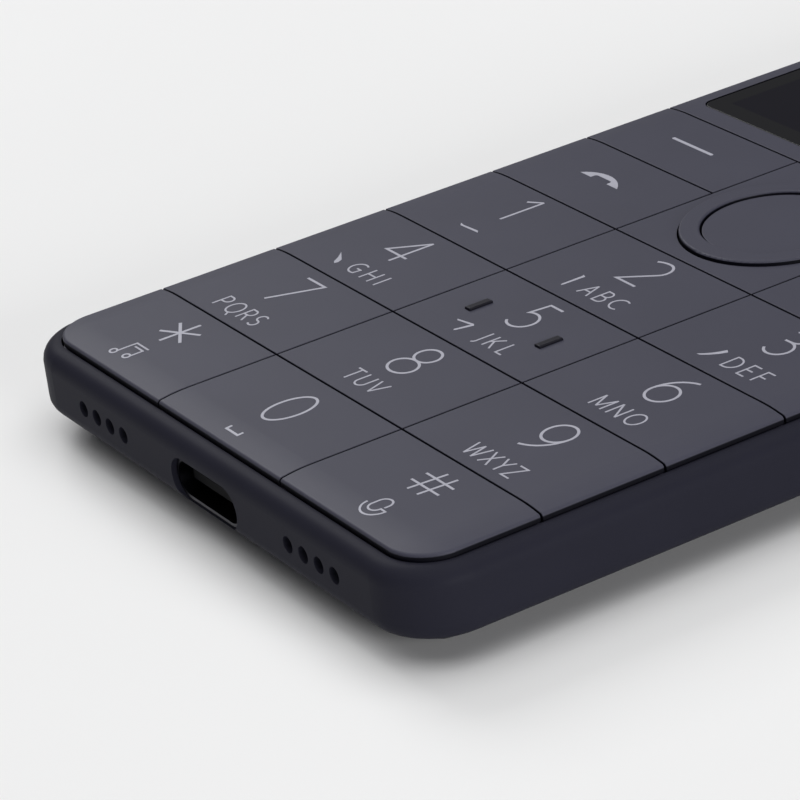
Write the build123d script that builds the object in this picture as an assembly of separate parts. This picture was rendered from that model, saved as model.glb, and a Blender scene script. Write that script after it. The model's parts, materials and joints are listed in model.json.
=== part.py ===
from build123d import *
import os

# A bar phone with a numeric keypad, in millimetres, lying on its back.
# X runs across the phone, +Y towards its top end, +Z out of the screen.
# The origin is on the back face, under the middle of the phone.

# Case
body_width = 54.0
body_length = 132.0
key_top = 8.0                 # back face to key tops
corner_radius = 5.0
rim_width = 1.5               # case edge that shows round the front
rim_drop = 0.7                # rim below the key tops
rim_edge_radius = 1.3
wall_foot = 2.6               # lower edge of the upright walls, above the back face
belly_inset = 4.6             # back face in from the walls
foot_edge_radius = 1.2
belly_blend = 1.4
back_wall = 1.2
upper_wall = 2.2              # end walls, and side walls beside the front pieces
lower_wall = 3.0              # side walls below the mid frame

# Running gaps
seam_gap = 0.15               # front pieces to case rim
key_gap = 0.16                # key to key
slip = 0.1                    # between pieces that drop into each other
part_gap = 0.3                # round pieces that only have to clear
cut_over = 1.0                # how far a cut runs past the face it opens

# Keypad
column_width = 16.8
bottom_row = 9.87
row_pitch = 9.78
call_row = 8.87
soft_row = 7.97
key_thickness = 0.75
key_travel = 0.3
travel_margin = 0.05
key_edge_radius = 0.06
pillow_width = 1.4            # outer key edges slope down to the seam
pillow_drop = 0.22
pillow_blend = 14.0
pillow_lip = 0.25
plunger_radius = 1.5
plunger_play = 0.2
tactile_offset = 4.5          # bars on the five key, from its middle
tactile_length = 2.0
tactile_width = 0.65
tactile_height = 0.2

# Navigation ring
nav_margin = 1.24             # tile left round the ring
ring_width = 1.55
ring_rise = 0.35
ok_rise = 0.12                # middle key above the others
ring_edge_radius = 0.15
ring_play = 0.15
gimbal_thickness = 0.15
gimbal_pad_length = 1.6
gimbal_pad_gap = 0.05

# Sheets under the keys
web_thickness = 0.4
mat_thickness = 0.2
dome_height = 0.2
dome_radius = 2.0
dome_top_radius = 1.2
key_board_thickness = 0.3
key_board_margin = 1.6
led_length = 0.8
led_width = 0.4
led_height = 0.15

# Display
side_band = 1.93              # frame beside the glass
lower_band = 1.97             # frame between keys and glass
top_band = 4.5
lens_thickness = 0.8
lens_recess = 0.05
lens_corner_radius = 1.0
lens_edge_radius = 0.12
lens_gap = 0.08
lens_ledge = 1.0
adhesive_thickness = 0.1
lcd_thickness = 0.9
backlight_thickness = 0.9
backlight_inset = 0.2
flex_thickness = 0.12
display_flex_width = 14.0
display_flex_reach = 1.0

# Earpiece
earpiece_slot_length = 9.0
earpiece_slot_width = 1.0
earpiece_mesh_margin = 0.5
receiver_length = 12.0
receiver_width = 3.0
receiver_height = 1.8
mesh_thickness = 0.2

# Mid frame and screws
mid_plate = 0.3
screw_inset = 3.5
screw_head_radius = 1.3
screw_head_height = 0.5
screw_radius = 0.7
screw_length = 2.6
pilot_play = 0.05
drive_radius = 0.5
drive_depth = 0.25
boss_radius = 1.7
shoulder_radius = 2.4

# Main board
board_thickness = 0.8
component_room = 0.65
board_gap = 0.6
connector_height = 0.45
connector_width = 3.0
key_connector_length = 8.0
key_connector_inset = 10.7    # connector middle in from the board's edge
large_can_inset = 5.7         # in from the board's left edge
small_can_inset = 4.7         # in from its right edge
small_can_width = 11.5
can_space = 2.5
can_length = 21.0
can_height = 1.4
can_wall = 0.2
processor_size = 11.0
power_chip_size = 6.0
chip_height = 0.9

# Battery
battery_side_gap = 0.3        # in from the edge of the flat floor
battery_top_gap = 0.25
battery_edge_radius = 1.2
battery_flex_width = 6.0
battery_connector_height = 0.25
antenna_side_gap = 1.1
antenna_length = 3.2
antenna_thickness = 0.15

# USB-C receptacle
usb_inner_width = 8.34
usb_inner_height = 2.56
usb_wall = 0.25
usb_length = 7.3
usb_recess = 0.4
usb_drop = 0.15               # socket axis below the board's top face
usb_fit = 0.03
usb_tongue_width = 6.7
usb_tongue_thickness = 0.7
usb_tongue_recess = 0.7
usb_block_length = 2.2
usb_arm_width = 1.6
usb_arm_length = 3.3

# Sound
hole_count = 4
hole_radius = 0.62
hole_pitch = 1.99
hole_edge = 9.58              # outermost hole in from the case side
hole_height = 4.6
speaker_side_gap = 2.0
speaker_length = 9.0
speaker_top_gap = 0.3
speaker_edge_radius = 0.8
sound_mesh_margin = 0.9
sound_mesh_height = 2.2
duct_depth = 0.8
boot_margin = 0.6
boot_length = 2.3
microphone_width = 3.8
microphone_height = 1.6
microphone_depth = 1.1

# Vibration motor
motor_radius = 4.0
motor_height = 2.0

# Card tray
tray_width = 12.4
tray_length = 15.0
tray_thickness = 0.8
tray_lift = 0.65              # tray middle above the board
tray_face_length = 15.0
tray_face_height = 2.0
tray_face_depth = 1.2
card_length = 12.4
card_width = 8.9
card_depth = 0.6
card_rim = 0.8
eject_radius = 0.4
eject_offset = 6.6
reader_height = 1.3
reader_wall = 0.5

# Outlines that follow from the sizes above
half_width = body_width / 2
half_length = body_length / 2
front_x = half_width - rim_width
front_low = -half_length + rim_width
front_high = half_length - rim_width
cavity_x = half_width - lower_wall
cavity_y = half_length - upper_wall
floor_x = half_width - belly_inset
floor_y = half_length - belly_inset
mid_x = half_width - upper_wall - slip
mid_y = cavity_y - slip
board_x = cavity_x - part_gap

# Lines between the key rows, from the bottom seam up
row_lines = [front_low, front_low + bottom_row]
for height in (row_pitch, row_pitch, row_pitch, call_row, soft_row):
    row_lines.append(row_lines[-1] + height)
keypad_top = row_lines[-1]
nav_y = (row_lines[4] + row_lines[6]) / 2
ring_outer = min(column_width, call_row + soft_row) / 2 - key_gap / 2 - nav_margin
ring_inner = ring_outer - ring_width
nav_hole = ring_outer + ring_play
plunger_hole = plunger_radius + plunger_play

# Levels under the keys
rim_top = key_top - rim_drop
key_bottom = key_top - key_thickness
web_top = key_bottom - key_travel - travel_margin
web_bottom = web_top - web_thickness
plunger_bottom = web_bottom + key_travel + travel_margin
mat_bottom = web_bottom - mat_thickness
dome_bottom = mat_bottom - dome_height
key_board_bottom = dome_bottom - key_board_thickness

# Levels under the glass
lens_top = key_top - lens_recess
lens_bottom = lens_top - lens_thickness
ledge_top = lens_bottom - adhesive_thickness
lcd_bottom = ledge_top - lcd_thickness
backlight_bottom = lcd_bottom - backlight_thickness
mid_bottom = backlight_bottom - mid_plate
battery_top = mid_bottom - battery_top_gap
board_top = mid_bottom - component_room
board_bottom = board_top - board_thickness

# Glass and panel outlines
lens_x = front_x - side_band
lens_low = keypad_top + lower_band
lens_high = front_high - top_band
window_x = lens_x - lens_ledge
window_low = lens_low + lens_ledge
window_high = lens_high - lens_ledge
panel_x = window_x - part_gap
panel_low = window_low + part_gap
panel_high = window_high - part_gap
flex_leg = panel_low - display_flex_reach
earpiece_y = front_high - top_band / 2

# Places on and round the board
wall_low = -cavity_y
usb_outer_width = usb_inner_width + 2 * usb_wall
usb_outer_height = usb_inner_height + 2 * usb_wall
usb_z = board_top - usb_drop
usb_front = -half_length + usb_recess
usb_back = usb_front + usb_length
usb_arm_x = usb_outer_width / 2 + usb_fit + usb_arm_width
hole_row = hole_pitch * (hole_count - 1)
hole_first_x = half_width - hole_edge - hole_row
sound_x = hole_first_x + hole_row / 2
duct_x = hole_row / 2 + hole_radius
sound_mesh_x = duct_x + sound_mesh_margin
boot_x = duct_x + boot_margin
speaker_low_x = usb_arm_x + part_gap
speaker_high_x = cavity_x - speaker_side_gap
sound_back = wall_low + mesh_thickness
speaker_back = sound_back + speaker_length
speaker_top = key_board_bottom - speaker_top_gap
board_low = speaker_back + board_gap
board_high = keypad_top - board_gap
battery_low = board_high + board_gap + slip
battery_high = cavity_y - screw_inset - shoulder_radius - part_gap
screw_x = cavity_x - screw_inset
battery_flex_x = screw_x - boss_radius - part_gap - battery_flex_width / 2
motor_x = screw_x - shoulder_radius - motor_radius - part_gap
can_low = board_low + 2 * screw_inset + shoulder_radius
key_connector_x = board_x - key_connector_inset
small_can = (board_x - small_can_inset - small_can_width, board_x - small_can_inset)
large_can = (-board_x + large_can_inset, small_can[0] - can_space)
tray_y = (row_lines[2] + row_lines[4]) / 2
tray_z = board_top + tray_lift
tray_tip = -half_width + tray_length
reader_low_x = -board_x + part_gap
reader_high_x = tray_tip + 2 * reader_wall
screw_rows = (board_low + screw_inset, board_high - screw_inset)
keypad_screws = [(s * screw_x, y) for s in (-1, 1) for y in screw_rows]
display_screws = [(s * screw_x, cavity_y - screw_inset) for s in (-1, 1)]
screw_seats = [(x, y, key_board_bottom - travel_margin - screw_head_height) for x, y in keypad_screws]
screw_seats += [(x, y, backlight_bottom) for x, y in display_screws]

# Keys by row, from the bottom row up, left to right
key_rows = [
    ["key_star", "key_0", "key_hash"],
    ["key_7", "key_8", "key_9"],
    ["key_4", "key_5", "key_6"],
    ["key_1", "key_2", "key_3"],
    ["call_key", None, "end_key"],
    ["softkey_left", None, "softkey_right"],
]
key_cells = {}
for row, names in enumerate(key_rows):
    for side, name in zip((-1, 0, 1), names):
        if name:
            key_cells[name] = (side, row)


def block(x0, x1, y0, y1, z0, z1):
    middle = Pos((x0 + x1) / 2, (y0 + y1) / 2, (z0 + z1) / 2)
    return middle * Box(x1 - x0, y1 - y0, z1 - z0)


def slab(x, y0, y1, radius, z0, z1):
    outline = Pos(0, (y0 + y1) / 2, z0) * RectangleRounded(2 * x, y1 - y0, radius)
    return extrude(outline, z1 - z0)


# The case's outline with its belly sloping in under the walls to a flat back
def tapered_slab(back):
    body = slab(half_width, -half_length, half_length, corner_radius, back, rim_top)
    face = body.faces().sort_by(Axis.Z)[0]
    return chamfer(face.edges(), belly_inset, wall_foot, reference=face)


def edges_at(shape, z):
    return [e for e in shape.edges() if abs(e.center().Z - z) < travel_margin]


def disc(x, y, radius, z0, z1):
    return Pos(x, y, (z0 + z1) / 2) * Cylinder(radius, z1 - z0)


def bar_along_y(x, z, width, height, y0, y1):
    face = Plane(origin=(x, y0, z), x_dir=(1, 0, 0), z_dir=(0, 1, 0)) * SlotOverall(width, height)
    return extrude(face, y1 - y0)


def bar_along_x(y, z, width, height, x0, x1):
    face = Plane(origin=(x0, y, z), x_dir=(0, 1, 0), z_dir=(1, 0, 0)) * SlotOverall(width, height)
    return extrude(face, x1 - x0)


def top_face(shape):
    return shape.faces().sort_by(Axis.Z)[-1]


def cell_bounds(column, row):
    x0 = column * column_width - column_width / 2 + key_gap / 2
    x1 = column * column_width + column_width / 2 - key_gap / 2
    if column < 0:
        x0 = -front_x
    if column > 0:
        x1 = front_x
    y0 = row_lines[row] + key_gap / 2
    if row == 0:
        y0 = row_lines[row]
    return x0, x1, y0, row_lines[row + 1] - key_gap / 2


def cell_centre(column, row):
    x0, x1, y0, y1 = cell_bounds(column, row)
    return (x0 + x1) / 2, (y0 + y1) / 2


def sound_holes(side):
    return [side * (hole_first_x + hole_pitch * i) for i in range(hole_count)]


def nav_domes():
    mid = (ring_outer + ring_inner) / 2
    return [(mid, nav_y), (-mid, nav_y), (0, nav_y + mid), (0, nav_y - mid)]


# The whole front as one cushion-edged plate, before it is cut into keys and frame
def make_front_blank():
    x = front_x - seam_gap
    low = front_low + seam_gap
    high = front_high - seam_gap
    radius = corner_radius - rim_width - seam_gap
    blank = slab(x, low, high, radius, web_top, key_top)
    top = top_face(blank)
    blank = chamfer(top.edges(), pillow_width, pillow_drop, reference=top)
    blank = fillet(top_face(blank).edges(), pillow_blend)
    return fillet(edges_at(blank, key_top - pillow_drop), pillow_lip)


front_blank = make_front_blank()


def cut_cell(x0, x1, y0, y1, bottom):
    cell = front_blank & block(x0, x1, y0, y1, bottom, key_top + cut_over)
    sides = []
    for edge in cell.edges():
        middle = edge.center()
        on_x = min(abs(middle.X - x0), abs(middle.X - x1)) < travel_margin
        on_x = on_x and abs(middle.X) < front_x - key_gap
        on_y = min(abs(middle.Y - y0), abs(middle.Y - y1)) < travel_margin
        on_y = on_y and middle.Y > front_low + key_gap
        upright = edge.bounding_box().size.Z > pillow_drop
        if (on_x or on_y) and not upright and middle.Z > bottom + travel_margin:
            sides.append(edge)
    return fillet(sides, key_edge_radius)


def make_key(column, row):
    key = cut_cell(*cell_bounds(column, row), key_bottom)
    x, y = cell_centre(column, row)
    return key + disc(x, y, plunger_radius, plunger_bottom, key_bottom)


def make_five_key():
    key = make_key(*key_cells["key_5"])
    x, y = cell_centre(*key_cells["key_5"])
    for side in (-1, 1):
        middle = x + side * tactile_offset
        bar = block(middle - tactile_width / 2, middle + tactile_width / 2,
                    y - tactile_length / 2, y + tactile_length / 2,
                    key_top - key_edge_radius, key_top + tactile_height)
        key += fillet(top_face(bar).edges(), tactile_height / 2)
    return key


def make_nav_surround():
    x = column_width / 2 - key_gap / 2
    tile = cut_cell(-x, x, row_lines[4] + key_gap / 2, row_lines[6] - key_gap / 2, web_top)
    return tile - disc(0, nav_y, nav_hole, web_top - cut_over, key_top + cut_over)


def make_nav_ring():
    ring = disc(0, nav_y, ring_outer, key_bottom, key_top + ring_rise)
    ring -= disc(0, nav_y, ring_inner, key_bottom - cut_over, key_top + ring_rise + cut_over)
    return fillet(top_face(ring).edges(), ring_edge_radius)


def make_nav_gimbal():
    top = plunger_bottom + gimbal_thickness
    inner = ring_inner + ring_play
    outer = ring_outer - ring_play
    gimbal = disc(0, nav_y, outer, plunger_bottom, top)
    pad = gimbal_pad_length / 2
    gimbal += block(-pad, pad, nav_y - inner - slip, nav_y + inner + slip, top, key_bottom - gimbal_pad_gap)
    gimbal -= disc(0, nav_y, inner - slip, plunger_bottom - cut_over, key_bottom)
    return gimbal


def make_ok_key():
    key = disc(0, nav_y, ring_inner - ring_play, key_bottom, key_top + ok_rise)
    key = fillet(top_face(key).edges(), key_edge_radius)
    return key + disc(0, nav_y, plunger_radius, plunger_bottom, key_bottom)


# Case with its steps, screw posts, socket slot, sound holes and card slot
def make_rear_case():
    case = tapered_slab(0)
    case = fillet(top_face(case).edges(), rim_edge_radius)
    case = fillet(edges_at(case, wall_foot), foot_edge_radius)
    case = fillet(edges_at(case, 0), belly_blend)
    case -= slab(front_x, front_low, front_high, corner_radius - rim_width, web_bottom, rim_top + cut_over)
    case -= slab(half_width - upper_wall, -cavity_y, cavity_y, corner_radius - upper_wall,
                 mid_bottom, web_bottom)
    cavity = slab(cavity_x, -cavity_y, cavity_y, corner_radius - upper_wall, back_wall, mid_bottom)
    case -= cavity & tapered_slab(back_wall)
    for x, y, seat in screw_seats:
        case += disc(x, y, shoulder_radius, back_wall, board_bottom)
        case += disc(x, y, boss_radius, board_bottom, mid_bottom)
    for x, y, seat in screw_seats:
        case -= disc(x, y, screw_radius + pilot_play, seat - screw_length - part_gap, mid_bottom + cut_over)
    slot_depth = upper_wall + cut_over
    case -= bar_along_y(0, usb_z, usb_outer_width + 2 * slip, usb_outer_height + 2 * slip,
                        -half_length - cut_over, -half_length + slot_depth)
    for x in sound_holes(-1) + sound_holes(1):
        hole = Cylinder(hole_radius, 2 * slot_depth)
        case -= Pos(x, -half_length, hole_height) * Rot(90, 0, 0) * hole
    case -= bar_along_x(tray_y, tray_z, tray_face_length + 2 * slip, tray_face_height + 2 * slip,
                        -half_width - cut_over, -half_width + tray_face_depth + slip)
    case -= block(-half_width, -cavity_x + cut_over,
                  tray_y - tray_width / 2 - slip, tray_y + tray_width / 2 + slip,
                  tray_z - tray_thickness / 2 - slip, tray_z + tray_thickness / 2 + slip)
    pin_hole = Pos(-half_width, tray_y + eject_offset, tray_z) * Rot(0, 90, 0)
    return case - pin_hole * Cylinder(eject_radius, 2 * lower_wall + cut_over)


def make_front_frame():
    low = front_low + seam_gap
    high = front_high - seam_gap
    radius = corner_radius - rim_width - seam_gap
    frame = slab(front_x - seam_gap, low, high, radius, web_bottom, web_top)
    frame += cut_cell(-front_x, front_x, keypad_top + key_gap / 2, front_high, web_top)
    frame -= slab(lens_x + lens_gap, lens_low - lens_gap, lens_high + lens_gap,
                  lens_corner_radius + lens_gap, ledge_top, key_top + cut_over)
    frame -= block(-window_x, window_x, window_low, window_high, web_bottom - cut_over, key_top)
    for cell in key_cells.values():
        frame -= disc(*cell_centre(*cell), plunger_hole, web_bottom - cut_over, web_top + cut_over)
    frame -= disc(0, nav_y, nav_hole, web_bottom - cut_over, web_top + cut_over)
    slot = SlotOverall(earpiece_slot_length, earpiece_slot_width)
    slot = Pos(0, earpiece_y, web_bottom - cut_over) * slot
    return frame - extrude(slot, key_top - web_bottom + 2 * cut_over)


# Display, from the glass down
def make_display_lens():
    lens = slab(lens_x, lens_low, lens_high, lens_corner_radius, lens_bottom, lens_top)
    return fillet(top_face(lens).edges(), lens_edge_radius)


def make_lens_adhesive():
    adhesive = slab(lens_x - slip, lens_low + slip, lens_high - slip, lens_corner_radius,
                    ledge_top, lens_bottom)
    return adhesive - block(-window_x - slip, window_x + slip, window_low - slip, window_high + slip,
                            ledge_top - cut_over, lens_bottom + cut_over)


def make_lcd_panel():
    return block(-panel_x, panel_x, panel_low, panel_high, lcd_bottom, ledge_top)


def make_backlight_unit():
    x = panel_x - backlight_inset
    return block(-x, x, panel_low + backlight_inset, panel_high - backlight_inset,
                 backlight_bottom, lcd_bottom)


def make_display_connector():
    x = display_flex_width / 2
    return block(-x, x, board_high - connector_width - board_gap, board_high - board_gap,
                 board_top, board_top + connector_height)


def make_display_flex():
    x = display_flex_width / 2
    pad = board_top + connector_height
    lip = lcd_bottom + slip
    flex = block(-x, x, board_high - connector_width - board_gap, flex_leg, pad, pad + flex_thickness)
    flex += block(-x, x, flex_leg, flex_leg + flex_thickness, pad, lip + flex_thickness)
    return flex + block(-x, x, flex_leg, panel_low, lip, lip + flex_thickness)


def make_earpiece_mesh():
    x = earpiece_slot_length / 2 + earpiece_mesh_margin
    y = earpiece_slot_width / 2 + earpiece_mesh_margin
    return block(-x, x, earpiece_y - y, earpiece_y + y, web_bottom - mesh_thickness, web_bottom)


def make_earpiece_receiver():
    top = web_bottom - mesh_thickness
    high = mid_y - slip
    return slab(receiver_length / 2, high - receiver_width, high, speaker_edge_radius,
                top - receiver_height, top)


# Mid frame: thin under the display, thick enough under the keys to carry the key board
def make_mid_frame():
    radius = corner_radius - upper_wall - slip
    frame = slab(mid_x, -mid_y, mid_y, radius, mid_bottom, key_board_bottom)
    frame -= block(-half_width, half_width, keypad_top, half_length, backlight_bottom, key_top)
    below = mid_bottom - cut_over
    above = key_board_bottom + cut_over
    for x, y, seat in screw_seats:
        frame -= disc(x, y, screw_radius + slip, below, above)
        frame -= disc(x, y, screw_head_radius + slip, seat, above)
    usb_x = usb_outer_width / 2 + part_gap
    frame -= block(-usb_x, usb_x, -half_length, usb_back + part_gap, below, above)
    frame -= block(speaker_low_x - part_gap, speaker_high_x + part_gap,
                   -half_length, speaker_back + part_gap, below, above)
    boot_side = boot_x + part_gap
    frame -= block(-sound_x - boot_side, -sound_x + boot_side,
                   -half_length, sound_back + boot_length + part_gap, below, above)
    reader_y = tray_width / 2 + reader_wall + part_gap
    frame -= block(-half_width, reader_high_x + part_gap, tray_y - reader_y, tray_y + reader_y,
                   below, above)
    connector_x = key_connector_length / 2 + part_gap
    connector_y = connector_width / 2 + part_gap
    frame -= block(key_connector_x - connector_x, key_connector_x + connector_x,
                   tray_y - connector_y, tray_y + connector_y, below, above)
    flex_x = display_flex_width / 2 + part_gap
    frame -= block(-flex_x, flex_x, flex_leg - part_gap, flex_leg + flex_thickness + part_gap, below, above)
    receiver_x = receiver_length / 2 + part_gap
    return frame - block(-receiver_x, receiver_x, mid_y - 2 * slip - receiver_width - part_gap, half_length,
                         below, above)


def make_frame_screws():
    screws = []
    for x, y, seat in screw_seats:
        head = seat + screw_head_height
        screw = disc(x, y, screw_head_radius, seat, head)
        screw += disc(x, y, screw_radius, seat - screw_length, seat)
        screw -= Pos(x, y, head - drive_depth) * extrude(RegularPolygon(drive_radius, 6), drive_depth)
        screws.append(screw)
    return Compound(screws)


# Key sheets
def key_sheet(z0, z1):
    x = mid_x - key_board_margin
    return slab(x, -mid_y + key_board_margin, keypad_top - board_gap, key_board_margin, z0, z1)


def make_key_domes():
    domes = []
    places = [cell_centre(*cell) for cell in key_cells.values()]
    for x, y in places + nav_domes() + [(0, nav_y)]:
        dome = Pos(x, y, (dome_bottom + mat_bottom) / 2) * Cone(dome_radius, dome_top_radius, dome_height)
        domes.append(dome)
    return Compound(domes)


def make_key_leds():
    leds = []
    for side in (-1, 1):
        for y in row_lines[1:4]:
            x = side * column_width / 2
            leds.append(block(x - led_length / 2, x + led_length / 2, y - led_width / 2, y + led_width / 2,
                              dome_bottom, dome_bottom + led_height))
    return Compound(leds)


def make_key_board_connector():
    x = key_connector_length / 2
    y = connector_width / 2
    return block(key_connector_x - x, key_connector_x + x, tray_y - y, tray_y + y,
                 board_top, key_board_bottom)


# Main board with two arms that hold the socket
def make_main_board():
    notch_x = usb_outer_width / 2 + usb_fit
    board = block(-board_x, board_x, board_low, board_high, board_bottom, board_top)
    board += block(-usb_arm_x, usb_arm_x, usb_back - usb_arm_length, board_low, board_bottom, board_top)
    board -= block(-notch_x, notch_x, -half_length, usb_back + usb_fit,
                   board_bottom - cut_over, board_top + cut_over)
    for x, y in keypad_screws:
        board -= disc(x, y, boss_radius + slip, board_bottom - cut_over, board_top + cut_over)
    return board


def make_shield_can(span):
    can = block(*span, can_low, can_low + can_length, board_bottom - can_height, board_bottom)
    return can - block(span[0] + can_wall, span[1] - can_wall,
                       can_low + can_wall, can_low + can_length - can_wall,
                       board_bottom - can_height + can_wall, board_bottom + cut_over)


def make_chip(span, size):
    x = (span[0] + span[1]) / 2
    y = can_low + can_length / 2
    return block(x - size / 2, x + size / 2, y - size / 2, y + size / 2,
                 board_bottom - chip_height, board_bottom)


# Battery and its lead
def make_battery():
    x = floor_x - battery_side_gap
    pack = block(-x, x, battery_low, battery_high, back_wall, battery_top)
    return fillet(pack.edges().filter_by(Axis.Y), battery_edge_radius)


def make_battery_connector():
    x = battery_flex_width / 2
    return block(battery_flex_x - x, battery_flex_x + x, board_high - connector_width, board_high,
                 board_top, board_top + battery_connector_height)


def make_battery_flex():
    x = battery_flex_width / 2
    z = board_top + battery_connector_height
    return block(battery_flex_x - x, battery_flex_x + x, board_high - connector_width, battery_low,
                 z, z + flex_thickness)


def make_antenna_flex():
    y = (battery_high + floor_y) / 2
    x = screw_x - shoulder_radius - antenna_side_gap
    return block(-x, x, y - antenna_length / 2, y + antenna_length / 2,
                 back_wall, back_wall + antenna_thickness)


# USB-C receptacle
def make_usb_shell():
    shell = bar_along_y(0, usb_z, usb_outer_width, usb_outer_height, usb_front, usb_back)
    return shell - bar_along_y(0, usb_z, usb_inner_width, usb_inner_height,
                               usb_front - cut_over, usb_back + cut_over)


def make_usb_tongue():
    width = usb_inner_width - 2 * usb_fit
    height = usb_inner_height - 2 * usb_fit
    body = bar_along_y(0, usb_z, width, height, usb_back - usb_block_length, usb_back)
    tongue = usb_tongue_thickness / 2
    return body + block(-usb_tongue_width / 2, usb_tongue_width / 2,
                        usb_front + usb_tongue_recess, usb_back, usb_z - tongue, usb_z + tongue)


# Loudspeaker behind the right holes, microphone behind the left ones
def make_sound_mesh(side):
    z = sound_mesh_height / 2
    return block(side * sound_x - sound_mesh_x, side * sound_x + sound_mesh_x, wall_low, sound_back,
                 hole_height - z, hole_height + z)


def make_loudspeaker():
    speaker = block(speaker_low_x, speaker_high_x, sound_back, speaker_back, back_wall, speaker_top)
    speaker = fillet(speaker.edges().filter_by(Axis.Z), speaker_edge_radius) & tapered_slab(back_wall)
    return speaker - block(sound_x - duct_x, sound_x + duct_x, wall_low, sound_back + duct_depth,
                           hole_height - hole_radius, hole_height + hole_radius)


def make_microphone_boot():
    boot = block(-sound_x - boot_x, -sound_x + boot_x, sound_back, sound_back + boot_length,
                 back_wall, speaker_top)
    boot &= tapered_slab(back_wall)
    boot -= block(-sound_x - duct_x, -sound_x + duct_x, wall_low, sound_back + duct_depth,
                  hole_height - hole_radius, hole_height + hole_radius)
    return boot - block(-sound_x - microphone_width / 2, -sound_x + microphone_width / 2,
                        sound_back, sound_back + duct_depth + microphone_depth,
                        hole_height - microphone_height / 2, hole_height + microphone_height / 2)


def make_microphone():
    back = sound_back + duct_depth + microphone_depth
    return block(-sound_x - microphone_width / 2, -sound_x + microphone_width / 2,
                 sound_back + duct_depth, back,
                 hole_height - microphone_height / 2, hole_height + microphone_height / 2)


def make_vibration_motor():
    motor = disc(motor_x, board_high - motor_radius - shoulder_radius, motor_radius,
                 back_wall, back_wall + motor_height)
    return fillet(top_face(motor).edges(), part_gap)


# Card tray and the reader it slides into
def make_sim_tray():
    tray = bar_along_x(tray_y, tray_z, tray_face_length, tray_face_height,
                       -half_width, -half_width + tray_face_depth)
    tray += block(-half_width + tray_face_depth, tray_tip, tray_y - tray_width / 2, tray_y + tray_width / 2,
                  tray_z - tray_thickness / 2, tray_z + tray_thickness / 2)
    tray -= block(tray_tip - card_rim - card_length, tray_tip - card_rim,
                  tray_y - card_width / 2, tray_y + card_width / 2,
                  tray_z + tray_thickness / 2 - card_depth, tray_z + tray_thickness)
    pin_hole = Pos(-half_width, tray_y + eject_offset, tray_z) * Rot(0, 90, 0)
    return tray - pin_hole * Cylinder(eject_radius, 2 * tray_face_depth + cut_over)


def make_sim_reader():
    side = tray_width / 2 + reader_wall
    reader = block(reader_low_x, reader_high_x, tray_y - side, tray_y + side,
                   board_top, board_top + reader_height)
    return reader - block(-half_width, tray_tip + slip,
                          tray_y - tray_width / 2 - slip, tray_y + tray_width / 2 + slip,
                          tray_z - tray_thickness / 2 - slip, tray_z + tray_thickness / 2 + slip)


parts = {name: make_key(*cell) for name, cell in key_cells.items() if name != "key_5"}
parts["key_5"] = make_five_key()
parts["nav_surround"] = make_nav_surround()
parts["nav_gimbal"] = make_nav_gimbal()
parts["nav_ring"] = make_nav_ring()
parts["ok_key"] = make_ok_key()
parts["rear_case"] = make_rear_case()
parts["front_frame"] = make_front_frame()
parts["display_lens"] = make_display_lens()
parts["lens_adhesive"] = make_lens_adhesive()
parts["lcd_panel"] = make_lcd_panel()
parts["backlight_unit"] = make_backlight_unit()
parts["display_flex"] = make_display_flex()
parts["display_connector"] = make_display_connector()
parts["earpiece_mesh"] = make_earpiece_mesh()
parts["earpiece_receiver"] = make_earpiece_receiver()
parts["mid_frame"] = make_mid_frame()
parts["frame_screws"] = make_frame_screws()
parts["key_mat"] = key_sheet(mat_bottom, web_bottom)
parts["key_domes"] = make_key_domes()
parts["key_leds"] = make_key_leds()
parts["key_board"] = key_sheet(key_board_bottom, dome_bottom)
parts["key_board_connector"] = make_key_board_connector()
parts["main_board"] = make_main_board()
parts["shield_can_large"] = make_shield_can(large_can)
parts["shield_can_small"] = make_shield_can(small_can)
parts["processor_chip"] = make_chip(large_can, processor_size)
parts["power_chip"] = make_chip(small_can, power_chip_size)
parts["battery"] = make_battery()
parts["battery_flex"] = make_battery_flex()
parts["battery_connector"] = make_battery_connector()
parts["antenna_flex"] = make_antenna_flex()
parts["usb_shell"] = make_usb_shell()
parts["usb_tongue"] = make_usb_tongue()
parts["loudspeaker"] = make_loudspeaker()
parts["speaker_mesh"] = make_sound_mesh(1)
parts["microphone_boot"] = make_microphone_boot()
parts["microphone"] = make_microphone()
parts["microphone_mesh"] = make_sound_mesh(-1)
parts["vibration_motor"] = make_vibration_motor()
parts["sim_tray"] = make_sim_tray()
parts["sim_reader"] = make_sim_reader()

os.makedirs("parts", exist_ok=True)
for name, shape in parts.items():
    export_step(shape, f"parts/{name}.step")
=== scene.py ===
"""Looks for a slim bar phone with a tile keypad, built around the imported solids."""

import json
from math import cos, pi, radians, sin

import bmesh
import bpy
from mathutils import Matrix, Vector


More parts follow.
